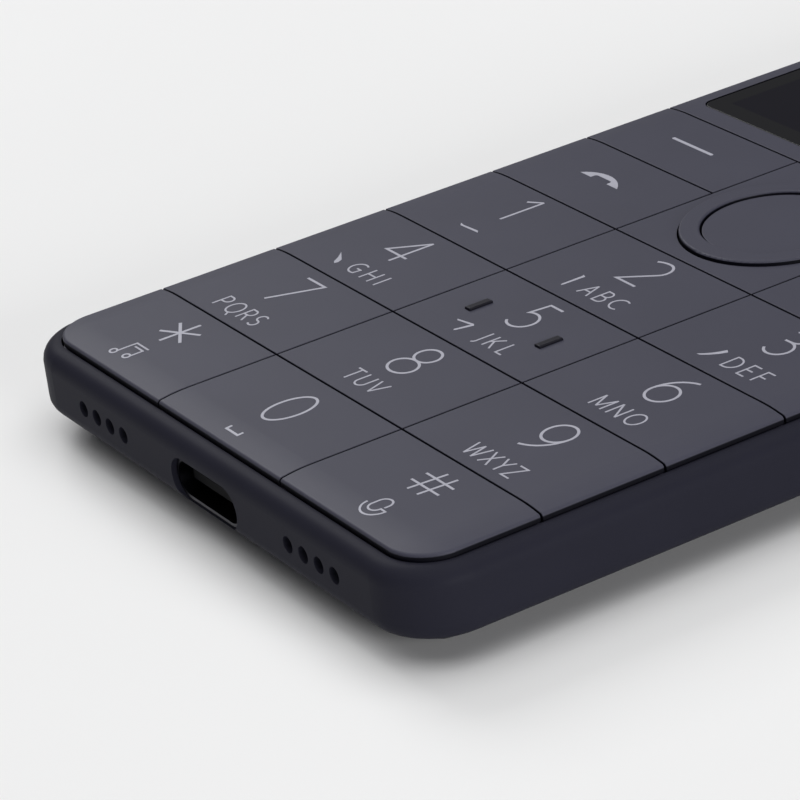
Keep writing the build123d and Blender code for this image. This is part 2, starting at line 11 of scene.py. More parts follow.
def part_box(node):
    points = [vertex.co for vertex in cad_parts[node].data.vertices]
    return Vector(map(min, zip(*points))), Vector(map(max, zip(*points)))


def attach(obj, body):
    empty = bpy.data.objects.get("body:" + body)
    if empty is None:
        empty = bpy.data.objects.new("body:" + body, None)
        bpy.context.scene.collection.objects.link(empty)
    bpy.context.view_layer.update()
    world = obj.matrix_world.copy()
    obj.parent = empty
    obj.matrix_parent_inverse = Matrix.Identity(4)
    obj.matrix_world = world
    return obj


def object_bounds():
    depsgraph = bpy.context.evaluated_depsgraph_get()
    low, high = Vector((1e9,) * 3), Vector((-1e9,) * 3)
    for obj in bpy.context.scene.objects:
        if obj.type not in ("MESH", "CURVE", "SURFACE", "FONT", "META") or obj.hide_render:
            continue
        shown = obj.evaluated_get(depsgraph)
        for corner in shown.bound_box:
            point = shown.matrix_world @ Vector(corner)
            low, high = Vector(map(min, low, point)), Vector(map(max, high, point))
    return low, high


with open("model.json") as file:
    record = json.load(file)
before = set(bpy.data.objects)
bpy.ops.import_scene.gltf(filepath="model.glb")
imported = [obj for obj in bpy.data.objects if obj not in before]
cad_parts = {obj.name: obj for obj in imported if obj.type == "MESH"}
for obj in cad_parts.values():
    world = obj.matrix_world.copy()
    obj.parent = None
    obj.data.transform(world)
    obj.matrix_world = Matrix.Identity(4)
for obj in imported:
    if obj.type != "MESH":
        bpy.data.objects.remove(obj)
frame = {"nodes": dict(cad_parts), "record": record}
cad_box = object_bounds()
nodes = frame["nodes"]
scene = bpy.context.scene

MM = 0.001

# Levels and edges read from the solids
KEY_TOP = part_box("key_2")[1][2]
TONGUE_LOW, TONGUE_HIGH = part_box("usb_tongue")

# Printed ink, its letter sizes in millimetres
INK_DEPTH = 0.03 * MM
INK_ABOVE = 0.015 * MM
STROKE_LIFT = 0.002 * MM      # each stroke of a mark lies over the one before
NUMERAL_PEN, LETTER_HEIGHT, LETTER_PEN = 0.21, 1.75, 0.145
ARC_STEP, OVAL_EDGES = 9.0, 48         # degrees of a swing to each edge, and edges round an oval
STROKE_WELD, OUTLINE_WELD = 1e-5, 0.02
BOTTOM_ROW = ("key_star", "key_0", "key_hash")
ROLL_STEP, ROLL_CUTS = 0.35 * MM, 9    # the bottom row's print is cut so that it bends over the edge
DROP_FROM = 1.0 * MM                   # print is laid on its key from this far above

# Finishes
WAVE_TURN = 20                # radians that a Wave texture turns in one unit at scale 1
BORDER_LAP = 0.4 * MM         # the glass's printed border laps over the display's edge
FEEL_BAR_FOOT = 0.02 * MM     # the feel bars are black from this far above their key

# Socket contacts
PADS, PAD_PITCH, PAD_INSET = 12, 0.5 * MM, 0.5 * MM
PAD_WIDTH, PAD_LENGTH, PAD_THICK, PAD_EDGE = 0.28 * MM, 2.6 * MM, 0.06 * MM, 0.02 * MM
TONGUE_HALF = 0.35 * MM       # half the tongue's thickness

# Studio
FLOOR_REACH, FLOOR_GAP = 3.0, 0.01 * MM
DOME_TINT, DOME_LIGHT = (0.96, 0.97, 1.0, 1.0), 0.08

# Camera: where the picture was taken from, in the phone's frame
IMAGE_PIXELS = 800
FOCAL_PIXELS = 4111.0
SENSOR_WIDTH = 36.0
CLIP_START = 0.01
EYE = Vector((0.227425, -0.175122, 0.12879))
AZIMUTH, ELEVATION, ROLL = radians(61.153), radians(25.39), radians(-7.574)

# Sockets of the colour Mix node, whose names repeat
MIX_FACTOR, MIX_A, MIX_B, MIX_OUT = 0, 6, 7, 2


def linear(hex_colour):
    """An sRGB hex colour as linear RGBA."""
    channels = [int(hex_colour[i:i + 2], 16) / 255 for i in (0, 2, 4)]
    return [c / 12.92 if c <= 0.04045 else ((c + 0.055) / 1.055) ** 2.4 for c in channels] + [1.0]


def add(tree, kind, inputs=None, **settings):
    """Adds a node, with its settings and with its inputs set or linked."""
    node = tree.nodes.new(kind)
    for name, value in settings.items():
        setattr(node, name, value)
    for socket, value in (inputs or {}).items():
        if isinstance(value, bpy.types.NodeSocket):
            tree.links.new(value, node.inputs[socket])
        else:
            node.inputs[socket].default_value = value
    return node


def surface(name, **values):
    """A new material: one shader with its fixed values, and the piece's own coordinates in metres."""
    material = bpy.data.materials.new(name)
    material.use_nodes = True
    tree = material.node_tree
    tree.nodes.clear()
    sockets = {key.replace("_", " "): value for key, value in values.items()}
    shader = add(tree, "ShaderNodeBsdfPrincipled", sockets)
    add(tree, "ShaderNodeOutputMaterial", {"Surface": shader.outputs["BSDF"]})
    place = add(tree, "ShaderNodeTexCoord").outputs["Object"]
    return material, tree, shader, place


def grained(tree, shader, place, dark, light, cloud, grain, depth):
    """Colour that drifts between two tones over a cloud's width, and a fine grain with a real depth."""
    drift = add(tree, "ShaderNodeTexNoise", {"Vector": place, "Scale": 1 / cloud, "Detail": 3.0})
    tone = add(tree, "ShaderNodeMix", {MIX_FACTOR: drift.outputs["Fac"], MIX_A: linear(dark),
                                       MIX_B: linear(light)}, data_type="RGBA")
    grit = add(tree, "ShaderNodeTexNoise", {"Vector": place, "Scale": 1 / grain, "Detail": 2.0})
    relief = add(tree, "ShaderNodeBump", {"Height": grit.outputs["Fac"], "Distance": depth,
                                          "Strength": 1.0})
    tree.links.new(tone.outputs[MIX_OUT], shader.inputs["Base Color"])
    tree.links.new(relief.outputs["Normal"], shader.inputs["Normal"])
    return tone


def soft_touch_paint(name, bars_above=None):
    # Moulded polycarbonate under a sprayed soft-touch coat: an even slate grey with a wide dull sheen
    # and a fine orange peel. Upright edges are painted near-black as painted shade, so the gaps and the
    # seam look dark. The peel is about 0.05 mm across, drawn at 0.14 mm so that it shows.
    material, tree, shader, place = surface(name, Roughness=0.5, IOR=1.47, Specular_IOR_Level=0.2)
    tone = grained(tree, shader, place, "3D3D49", "42424F", 7 * MM, 0.14 * MM, 0.003 * MM)
    facing = add(tree, "ShaderNodeSeparateXYZ",
                 {"Vector": add(tree, "ShaderNodeNewGeometry").outputs["Normal"]})
    # Faces that turn upright fade to near-black: painted shade down the gaps between keys and along the
    # seam
    gap_shade_mask = add(tree, "ShaderNodeMapRange", {"Value": facing.outputs["Z"],
                                               "From Min": 0.05, "From Max": 0.3})
    coat_with_gap_shade = add(tree, "ShaderNodeMix", {MIX_FACTOR: gap_shade_mask.outputs["Result"], MIX_A: linear("060610"),
                                       MIX_B: tone.outputs[MIX_OUT]}, data_type="RGBA")
    last = coat_with_gap_shade
    if bars_above is not None:
        # The two feel bars are moulded in black and stand through the coat
        height = add(tree, "ShaderNodeSeparateXYZ", {"Vector": place})
        bar = add(tree, "ShaderNodeMath", {0: height.outputs["Z"], 1: bars_above},
                  operation="GREATER_THAN")
        last = add(tree, "ShaderNodeMix", {MIX_FACTOR: bar.outputs["Value"],
                                           MIX_A: coat_with_gap_shade.outputs[MIX_OUT],
                                           MIX_B: linear("11101B")}, data_type="RGBA")
    tree.links.new(last.outputs[MIX_OUT], shader.inputs["Base Color"])
    return material


def case_plastic():
    # Moulded polycarbonate and ABS from a spark-eroded tool: blue-black, matt, with a pebbled grain.
    # The pebbles are about 0.06 mm across, drawn at 0.16 mm so that they show.
    material, tree, shader, place = surface("spark_textured_polycarbonate", Roughness=0.46, IOR=1.5,
                                            Specular_IOR_Level=0.03)
    grained(tree, shader, place, "24242D", "282832", 9 * MM, 0.16 * MM, 0.004 * MM)
    return material


def cover_glass():
    # Float glass over a black printed border and a display that is off: black and glossy, the display a
    # shade different from the print, with finger film as slow changes in gloss. Its edges are ground and
    # stay dull.
    material, tree, shader, place = surface("printed_cover_glass", IOR=1.45, Specular_IOR_Level=0.35)
    side = add(tree, "ShaderNodeSeparateXYZ", {"Vector": place})
    panel_low, panel_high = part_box("lcd_panel")
    middle = [(panel_low[i] + panel_high[i]) / 2 for i in (0, 1)]
    half = [(panel_high[i] - panel_low[i]) / 2 - BORDER_LAP for i in (0, 1)]
    inside = []
    for axis, centre, reach in zip("XY", middle, half):
        off = add(tree, "ShaderNodeMath", {0: side.outputs[axis], 1: centre}, operation="SUBTRACT")
        away = add(tree, "ShaderNodeMath", {0: off.outputs["Value"]}, operation="ABSOLUTE")
        inside.append(add(tree, "ShaderNodeMath", {0: away.outputs["Value"], 1: reach},
                          operation="LESS_THAN"))
    shown = add(tree, "ShaderNodeMath", {0: inside[0].outputs["Value"], 1: inside[1].outputs["Value"]},
                operation="MULTIPLY")
    black = add(tree, "ShaderNodeMix", {MIX_FACTOR: shown.outputs["Value"], MIX_A: linear("1E1E20"),
                                        MIX_B: linear("17161D")}, data_type="RGBA")
    tree.links.new(black.outputs[MIX_OUT], shader.inputs["Base Color"])
    film = add(tree, "ShaderNodeTexNoise", {"Vector": place, "Scale": 1 / (14 * MM), "Detail": 4.0})
    gloss = add(tree, "ShaderNodeMapRange", {"Value": film.outputs["Fac"],
                                             "To Min": 0.08, "To Max": 0.2})
    facing = add(tree, "ShaderNodeSeparateXYZ",
                 {"Vector": add(tree, "ShaderNodeNewGeometry").outputs["Normal"]})
    ground = add(tree, "ShaderNodeMapRange", {"Value": facing.outputs["Z"],
                                              "From Min": 0.9, "From Max": 0.99,
                                              "To Min": 0.8, "To Max": gloss.outputs["Result"]})
    tree.links.new(ground.outputs["Result"], shader.inputs["Roughness"])
    return material


def printed_ink():
    # Pad-printed silver-grey ink: flat and slightly rough, a little thin where the pad lifted.
    material, tree, shader, place = surface("pad_printed_silver_ink", Roughness=0.5, IOR=1.5)
    grained(tree, shader, place, "9C9CA8", "AAAAB6", 0.8 * MM, 0.1 * MM, 0.001 * MM)
    return material


def stamped_steel():
    # Cold-rolled stainless sheet, stamped: grey and bright, with rolling lines about 0.1 mm apart.
    material, tree, shader, place = surface("stamped_stainless_steel", Metallic=1.0)
    drawn = add(tree, "ShaderNodeMapping", {"Vector": place,
                                            "Scale": (1 / (0.1 * MM), 1 / (4 * MM), 1 / (0.1 * MM))})
    lines = add(tree, "ShaderNodeTexNoise", {"Vector": drawn.outputs["Vector"],
                                             "Scale": 1.0, "Detail": 2.0})
    tone = add(tree, "ShaderNodeMix", {MIX_FACTOR: lines.outputs["Fac"], MIX_A: linear("8E8F92"),
                                       MIX_B: linear("A9AAAD")}, data_type="RGBA")
    sheen = add(tree, "ShaderNodeMapRange", {"Value": lines.outputs["Fac"],
                                             "To Min": 0.22, "To Max": 0.4})
    tree.links.new(tone.outputs[MIX_OUT], shader.inputs["Base Color"])
    tree.links.new(sheen.outputs["Result"], shader.inputs["Roughness"])
    return material


def gold_plating():
    # Hard gold flashed over nickel: warm and bright, with wiping marks along the contact.
    material, tree, shader, place = surface("gold_plated_contact", Metallic=1.0)
    wiped = add(tree, "ShaderNodeMapping", {"Vector": place,
                                            "Scale": (1 / (0.05 * MM), 1 / (1.5 * MM), 1 / (0.05 * MM))})
    marks = add(tree, "ShaderNodeTexNoise", {"Vector": wiped.outputs["Vector"],
                                             "Scale": 1.0, "Detail": 2.0})
    tone = add(tree, "ShaderNodeMix", {MIX_FACTOR: marks.outputs["Fac"], MIX_A: linear("C9A253"),
                                       MIX_B: linear("E0BD6E")}, data_type="RGBA")
    sheen = add(tree, "ShaderNodeMapRange", {"Value": marks.outputs["Fac"],
                                             "To Min": 0.18, "To Max": 0.34})
    tree.links.new(tone.outputs[MIX_OUT], shader.inputs["Base Color"])
    tree.links.new(sheen.outputs["Result"], shader.inputs["Roughness"])
    return material


def woven_mesh():
    # Woven polyester dust mesh, black: threads 0.12 mm apart cross, with dark pores between.
    material, tree, shader, place = surface("woven_black_mesh", Roughness=0.6, IOR=1.5)
    turns = 2 * pi / (0.12 * MM) / WAVE_TURN
    threads = [add(tree, "ShaderNodeTexWave", {"Vector": place, "Scale": turns}, bands_direction=axis)
               for axis in ("X", "Z")]
    weave = add(tree, "ShaderNodeMath", {0: threads[0].outputs["Fac"], 1: threads[1].outputs["Fac"]},
                operation="MAXIMUM")
    tone = add(tree, "ShaderNodeMix", {MIX_FACTOR: weave.outputs["Value"], MIX_A: linear("030304"),
                                       MIX_B: linear("1B1B1E")}, data_type="RGBA")
    relief = add(tree, "ShaderNodeBump", {"Height": weave.outputs["Value"], "Distance": 0.03 * MM})
    tree.links.new(tone.outputs[MIX_OUT], shader.inputs["Base Color"])
    tree.links.new(relief.outputs["Normal"], shader.inputs["Normal"])
    return material


def solder_mask():
    # Glass-epoxy laminate under black solder mask: satin, with copper that just shows through, in
    # patches about 2.4 mm apart.
    material, tree, shader, place = surface("black_solder_mask", Roughness=0.38, IOR=1.5)
    tracks = add(tree, "ShaderNodeTexVoronoi", {"Vector": place, "Scale": 1 / (2.4 * MM)},
                 feature="F1", distance="CHEBYCHEV")
    edge = add(tree, "ShaderNodeMapRange", {"Value": tracks.outputs["Distance"],
                                            "From Min": 0.36, "From Max": 0.4})
    tone = add(tree, "ShaderNodeMix", {MIX_FACTOR: edge.outputs["Result"], MIX_A: linear("10151A"),
                                       MIX_B: linear("1F2A2B")}, data_type="RGBA")
    relief = add(tree, "ShaderNodeBump", {"Height": edge.outputs["Result"], "Distance": 0.02 * MM})
    tree.links.new(tone.outputs[MIX_OUT], shader.inputs["Base Color"])
    tree.links.new(relief.outputs["Normal"], shader.inputs["Normal"])
    return material


def plain_grain(name, dark, light, cloud, grain, depth, **values):
    """A moulded, cast or rolled finish: two close tones and a grain, its sizes in millimetres."""
    material, tree, shader, place = surface(name, **values)
    grained(tree, shader, place, dark, light, cloud * MM, grain * MM, depth * MM)
    return material


def dress(name, finish):
    """Gives a solid its finish."""
    mesh = nodes[name].data
    mesh.materials.clear()
    mesh.materials.append(finish)


finishes = {
    "key_plastic": soft_touch_paint("soft_touch_paint_with_gap_shade"),
    "case_plastic": case_plastic(),
    "cover_glass": cover_glass(),
    "spring_steel": stamped_steel(),
    "black_mesh": woven_mesh(),
    "board_laminate": solder_mask(),
    # Cut glass sandwich of the display: dark, smooth, with the faint violet of its polariser
    "panel_glass": plain_grain("polarised_display_glass", "0E0D14", "141320", 20, 0.5, 0.0002,
                               Roughness=0.12, IOR=1.5),
    # Moulded acrylic light guide on a white reflector: milky and smooth
    "light_guide": plain_grain("acrylic_light_guide", "DADDDF", "EBEDEE", 8, 0.3, 0.002,
                               Roughness=0.2, IOR=1.49),
    # Closed-cell foam tape: dull black with pores about 0.2 mm across
    "foam_tape": plain_grain("closed_cell_foam", "121212", "1E1E1E", 1, 0.2, 0.03,
                             Roughness=0.9, IOR=1.45),
    # Polyimide film flex: amber and glossy, with shallow waves from bending
    "polyimide": plain_grain("polyimide_film", "8A4B12", "A8611E", 5, 1.5, 0.01,
                             Roughness=0.25, IOR=1.65),
    # Glass-filled liquid-crystal polymer and chip epoxy: black with a fine flow grain
    "connector_plastic": plain_grain("glass_filled_polymer", "131314", "1D1D1F", 2, 0.12, 0.004,
                                     Roughness=0.5, IOR=1.6),
    # Die-cast magnesium, blasted: mid grey metal with a sandy grain
    "cast_alloy": plain_grain("blasted_magnesium_casting", "8B8C8E", "A0A1A3", 6, 0.15, 0.008,
                              Metallic=1.0, Roughness=0.5),
    # Aluminium laminate pouch: satin silver with soft creases a few millimetres apart
    "pouch_foil": plain_grain("aluminium_laminate_pouch", "A6A8AB", "B9BBBE", 12, 3, 0.06,
                              Metallic=1.0, Roughness=0.32),
    # Moulded silicone sheet: cloudy grey, dull, with a soft tool grain
    "silicone": plain_grain("moulded_silicone", "9A9A9C", "ABABAD", 4, 0.2, 0.004,
                            Roughness=0.6, IOR=1.42),
    # Cast clear resin over a phosphor: pale yellow and glossy
    "led_resin": plain_grain("phosphor_resin", "E6D98A", "F1E8AE", 0.5, 0.1, 0.001,
                             Roughness=0.2, IOR=1.5),
}
for part in frame["record"]["subparts"]:
    dress(part["node"], finishes[part["material_slot"]])

# The socket is dark all through, as painted shade inside the slot. Its shell is drawn steel coloured
# dark, with a smoky gleam at the mouth, and its tongue is black polymer darkened further, giving hardly
# any shine.
socket_shade_finishes = {
    "usb_shell": plain_grain("steel_darkened_as_slot_shade", "2B2B31", "36363D", 3, 0.2, 0.001,
                             Metallic=1.0, Roughness=0.34),
    "usb_tongue": plain_grain("black_polymer_darkened_as_slot_shade", "060609", "0A0A0E", 2, 0.1, 0.002,
                              Roughness=0.7, IOR=1.5, Specular_IOR_Level=0.1),
}
for name, finish in socket_shade_finishes.items():
    dress(name, finish)

# The middle key's feel bars show black
dress("key_5", soft_touch_paint("soft_touch_paint_gap_shade_feel_bars", KEY_TOP + FEEL_BAR_FOOT))
ink = printed_ink()

# Pen strokes of the numerals and letters, one unit high, after each one's width. A pair is a point to
# draw straight to, a triple is a swing about a centre by some degrees, and four numbers are a closed
# oval's centre and reach.
glyphs = {
    "0": (0.61, [[(0.305, 0.5, 0.305, 0.5)]]),
    "1": (0.35, [[(0, 0.81), (0.29, 1)], [(0.29, 1), (0.29, 0)]]),
    "2": (0.58, [[(0, 0.92), (0.3, 0.398, -29.9), (0.3, 0.735, -130), (0, 0), (0.58, 0)]]),
    "3": (0.54, [[(0.04, 0.866), (0.25, 0.77, -245), (0.1, 0.535)],
                 [(0.25, 0.535), (0.27, 0.267, -240)]]),
    "4": (0.69, [[(0.5, 1), (0, 0.27), (0.69, 0.27)], [(0.5, 0), (0.5, 1)]]),
    "5": (0.55, [[(0.5, 1), (0.12, 1), (0.07, 0.56), (0.24, 0.31, -263)]]),
    "6": (0.63, [[(0.315, 0.31, 0.315, 0.31)], [(0, 0.31), (0.69, 0.31, -75)]]),
    "7": (0.58, [[(0, 1), (0.58, 1), (0.16, 0)]]),
    "8": (0.61, [[(0.305, 0.76, 0.255, 0.24)], [(0.305, 0.26, 0.305, 0.26)]]),
    "9": (0.59, [[(0.295, 0.69, 0.295, 0.31)], [(0.59, 0.69), (-0.1, 0.69, -75)]]),
    "A": (0.74, [[(0, 0), (0.37, 1)], [(0.37, 1), (0.74, 0)], [(0.13, 0.36), (0.61, 0.36)]]),
    "B": (0.56, [[(0, 0.52), (0, 1), (0.28, 1), (0.28, 0.76, -180), (0, 0.52)],
                 [(0, 0.52), (0, 0), (0.3, 0), (0.3, 0.26, 180), (0, 0.52)]]),
    "C": (0.72, [[(0.72, 0.9), (0.48, 0.5, 242)]]),
    "D": (0.68, [[(0, 0), (0, 1), (0.18, 1), (0.18, 0.5, -180), (0, 0)]]),
    "E": (0.48, [[(0.48, 1), (0, 1), (0, 0), (0.48, 0)], [(0, 0.52), (0.44, 0.52)]]),
    "F": (0.46, [[(0.46, 1), (0, 1), (0, 0)], [(0, 0.5), (0.42, 0.5)]]),
    "G": (0.74, [[(0.73, 0.9), (0.49, 0.5, 236), (0.74, 0.47), (0.44, 0.47)]]),
    "H": (0.66, [[(0, 0), (0, 1)], [(0.66, 0), (0.66, 1)], [(0, 0.52), (0.66, 0.52)]]),
    "I": (0.0, [[(0, 0), (0, 1)]]),
    "J": (0.2, [[(0.2, 1), (0.2, 0.05), (0, 0.05, -75)]]),
    "K": (0.56, [[(0, 0), (0, 1)], [(0.52, 1), (0, 0.4)], [(0.16, 0.58), (0.56, 0)]]),
    "L": (0.44, [[(0, 1), (0, 0), (0.44, 0)]]),
    "M": (0.84, [[(0, 0), (0, 1)], [(0, 1), (0.42, 0.1)], [(0.42, 0.1), (0.84, 1)],
                 [(0.84, 1), (0.84, 0)]]),
    "N": (0.68, [[(0, 0), (0, 1)], [(0, 1), (0.68, 0)], [(0.68, 0), (0.68, 1)]]),
    "O": (0.84, [[(0.42, 0.5, 0.42, 0.5)]]),
    "P": (0.52, [[(0, 0), (0, 1)], [(0, 0.9), (0, 1), (0.26, 1), (0.26, 0.74, -180), (0, 0.48)]]),
    "Q": (0.84, [[(0.42, 0.5, 0.42, 0.5)], [(0.5, 0.05), (0.72, -0.24)]]),
    "R": (0.54, [[(0, 0), (0, 1)], [(0, 0.9), (0, 1), (0.26, 1), (0.26, 0.74, -180), (0, 0.48)],
                 [(0.26, 0.48), (0.54, 0)]]),
    "S": (0.5, [[(0.46, 0.92), (0.27, 0.752, 228), (0.27, 0.252, -228)]]),
    "T": (0.66, [[(0, 1), (0.66, 1)], [(0.33, 1), (0.33, 0)]]),
    "U": (0.62, [[(0, 1), (0, 0.31), (0.31, 0.31, 180), (0.62, 1)]]),
    "V": (0.7, [[(0, 1), (0.35, 0)], [(0.35, 0), (0.7, 1)]]),
    "W": (1.04, [[(0, 1), (0.26, 0)], [(0.26, 0), (0.52, 0.96)], [(0.52, 0.96), (0.78, 0)],
                 [(0.78, 0), (1.04, 1)]]),
    "X": (0.62, [[(0, 0), (0.62, 1)], [(0, 1), (0.62, 0)]]),
    "Y": (0.62, [[(0, 1), (0.31, 0.48), (0.62, 1)], [(0.31, 0.48), (0.31, 0)]]),
    "Z": (0.58, [[(0, 1), (0.58, 1), (0, 0), (0.58, 0)]]),
}

# Numerals by key row: their height, and their middle above the key's middle, in millimetres
numeral_rows = {"123": (4.2, 1.9), "456": (4.17, 1.66), "789": (4.37, 1.5), "0": (4.42, 1.03)}

# Letter rows: the letters, the place of their middle from the key's middle, and how wide they print
letter_rows = {
    "key_2": ("ABC", 0.98, -2.67, 4.77), "key_3": ("DEF", 1.3, -2.67, 4.3),
    "key_4": ("GHI", 1.43, -2.67, 4.27), "key_5": ("JKL", 1.8, -2.67, 3.75),
    "key_6": ("MNO", 0.05, -2.67, 5.3), "key_7": ("PQRS", 0.1, -2.95, 5.8),
    "key_8": ("TUV", 0.1, -2.67, 4.4), "key_9": ("WXYZ", 0.05, -3.02, 6.0),
}

# Line marks: the pen's width and the strokes, in millimetres from the key's middle
STAR_X, STAR_Y, STAR_ARM = 0.1, 1.74, 1.73
star_arms = [[(STAR_X + arm * sin(radians(turn)), STAR_Y + arm * cos(radians(turn)))
              for arm in (-STAR_ARM, STAR_ARM)] for turn in (0, 60, 120)]
line_marks = {
    "key_0": [(0.19, [[(-0.7, -3.2), (-0.7, -3.66), (0.84, -3.66), (0.84, -3.2)]])],
    "key_star": [(0.24, star_arms),
                 # Two notes under a double beam
                 (0.15, [[(-0.7, -3.1), (-0.7, -1.37), (0.97, -1.37)],
                         [(-0.31, -1.76), (0.83, -1.76), (0.83, -2.9)],
                         [(-0.94, -3.21, 0.3, 0.28)], [(0.58, -2.99, 0.3, 0.28)]])],
    "key_hash": [(0.19, [[(-0.42, 3.45), (-0.69, 0.4)], [(0.76, 3.47), (0.51, 0.4)],
                         [(-1.65, 2.52), (1.7, 2.52)], [(-1.65, 1.34), (1.7, 1.34)]]),
                 # A speaking head and its echo, in one stroke
                 (0.15, [[(0.63, -2.19), (0.63, -1.83), (0.035, -1.83, 180), (-0.56, -2.42),
                          (0, -2.42, 180), (1.14, -2.44), (0.035, -2.44, -180)]])],
}
# A dash with round ends on each soft key
soft_dash = [(-2.45, 0.15), (2.45, 0.15), (2.45, 0.3, 180), (-2.45, 0.45), (-2.45, 0.3, 180)]
# A receiver seen from the side: its arched back, then its flat ear pieces and the grip's underside
receiver = [(-2.45, -0.1), (0, -2.278, -96.7), (1.05, -0.1), (1.05, 0.18), (0.8, 0.18, 90),
            (-0.8, 0.43), (-0.8, 0.18, 90), (-1.05, -0.1)]
# Filled marks by key: one closed outline each, the first five a brush's writing strokes
fill_marks = {
    "key_1": [(-1.2, -2.51), (-0.72, -2.6), (1.02, -2.44), (1.3, -2.66), (-0.86, -2.79)],
    "key_2": [(-3.27, -1.48), (-2.94, -1.6), (-3.0, -3.5), (-3.1, -3.63), (-3.2, -3.5), (-3.2, -1.7)],
    "key_3": [(-2.3, -1.72), (-1.97, -1.92), (-5.434, -0.637, -30.5), (-3.42, -3.54),
              (-6.037, -0.675, 32)],
    "key_4": [(-3.44, -1.97), (-2.22, -2.68), (-2.0, -3.12), (-2.12, -3.4), (-2.36, -3.26),
              (-2.82, -2.6)],
    "key_5": [(-3.75, -2.31), (-2.12, -1.97), (-1.9, -2.12), (-2.27, -3.42), (-2.36, -3.56),
              (-2.5, -3.45), (-2.2, -2.2), (-3.58, -2.45)],
    "softkey_left": soft_dash, "softkey_right": soft_dash, "call_key": receiver, "end_key": receiver,
}


def pen_stroke(bm, stroke):
    """Draws one stroke as a chain of edges and returns the chain's two ends, which an oval hasn't."""
    if len(stroke[0]) == 4:
        x, y, reach_x, reach_y = stroke[0]
        oval = Matrix.Translation((x, y, 0)) @ Matrix.Diagonal((reach_x, reach_y, 1, 1))
        bmesh.ops.create_circle(bm, segments=OVAL_EDGES, radius=1, matrix=oval)
        return None
    start = tip = bm.verts.new((*stroke[0], 0))
    for pull in stroke[1:]:
        if len(pull) == 2:
            tip = bmesh.ops.extrude_vert_indiv(bm, verts=[tip])["verts"][0]
            tip.co = (*pull, 0)
        else:
            x, y, turn = pull
            swung = bmesh.ops.spin(bm, geom=[tip], cent=(x, y, 0), axis=(0, 0, 1), angle=radians(turn),
                                   steps=max(2, round(abs(turn) / ARC_STEP)))
            tip = [v for v in swung["geom_last"] if isinstance(v, bmesh.types.BMVert)][0]
    return start, tip


def made(name, bm, finish=None):
    """Turns a finished bmesh into an object in the scene."""
    mesh = bpy.data.meshes.new(name)
    bm.to_mesh(mesh)
    bm.free()
    if finish:
        mesh.materials.append(finish)
    piece = bpy.data.objects.new(name, mesh)
    scene.collection.objects.link(piece)
    return piece


def inked(strokes, place, pen):
    """A printed mark's mesh: pen strokes put in place, raised to the ink's depth, as wide as the pen."""
    bm = bmesh.new()
    for lift, stroke in enumerate(strokes):
        before = set(bm.verts)
        pen_stroke(bm, stroke)
        drawn = [v for v in bm.verts if v not in before]
        bmesh.ops.remove_doubles(bm, verts=drawn, dist=STROKE_WELD)
        bmesh.ops.translate(bm, verts=[v for v in bm.verts if v not in before],
                            vec=(0, 0, lift * STROKE_LIFT))
    bmesh.ops.transform(bm, matrix=place, verts=bm.verts)
    risen = bmesh.ops.extrude_edge_only(bm, edges=bm.edges)["geom"]
    bmesh.ops.translate(bm, verts=[v for v in risen if isinstance(v, bmesh.types.BMVert)],
                        vec=(0, 0, INK_DEPTH))
    bmesh.ops.recalc_face_normals(bm, faces=bm.faces)
    mark = made("ink", bm)
    widen = mark.modifiers.new("pen", "SOLIDIFY")
    widen.thickness, widen.offset, widen.use_even_offset = pen, 0.0, True
    wide = bpy.data.meshes.new_from_object(mark.evaluated_get(bpy.context.evaluated_depsgraph_get()))
    bpy.data.objects.remove(mark)
    return wide


def filled(outline, place):
    """A solid mark's mesh: an outline closed, filled, put in place and raised to the ink's depth."""
    bm = bmesh.new()
    start, tip = pen_stroke(bm, outline)
    bm.edges.new((tip, start))
    bmesh.ops.remove_doubles(bm, verts=bm.verts, dist=OUTLINE_WELD)
    bmesh.ops.triangle_fill(bm, edges=bm.edges, use_beauty=True)
    bmesh.ops.transform(bm, matrix=place, verts=bm.verts)
    risen = bmesh.ops.extrude_face_region(bm, geom=bm.faces[:], use_keep_orig=True)["geom"]
    bmesh.ops.translate(bm, verts=[v for v in risen if isinstance(v, bmesh.types.BMVert)],
                        vec=(0, 0, INK_DEPTH))
    bmesh.ops.recalc_face_normals(bm, faces=bm.faces)
    mesh = bpy.data.meshes.new("solid_ink")
    bm.to_mesh(mesh)
    bm.free()
    return mesh


def printed_at(key, x, y, scale):
    """Where a mark goes on a key, in millimetres from the key's middle, and how large it is drawn."""
    low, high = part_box(key)
    origin = ((low[0] + high[0]) / 2 + x * MM, (low[1] + high[1]) / 2 + y * MM,
              KEY_TOP - INK_DEPTH + INK_ABOVE)
    return Matrix.Translation(origin) @ Matrix.Diagonal((scale * MM, scale * MM, 1, 1))


def numeral(key, name, height, rise):
    """One numeral over the key's middle, its outside as high as given."""
    width, strokes = glyphs[name]
    drawn = height - NUMERAL_PEN
    return inked(strokes, printed_at(key, -width * drawn / 2, rise - drawn / 2, drawn), NUMERAL_PEN * MM)


def word(key, letters, x, y, width):
    """Letters spaced out to the width of the print, with the row's middle at x, y."""
    drawn = LETTER_HEIGHT - LETTER_PEN
    widths = [glyphs[letter][0] * drawn for letter in letters]
    gap = (width - LETTER_PEN - sum(widths)) / (len(letters) - 1)
    left = x - (width - LETTER_PEN) / 2
    marks = []
    for letter, letter_width in zip(letters, widths):
        place = printed_at(key, left, y - drawn / 2, drawn)
        marks.append(inked(glyphs[letter][1], place, LETTER_PEN * MM))
        left += letter_width + gap
    return marks


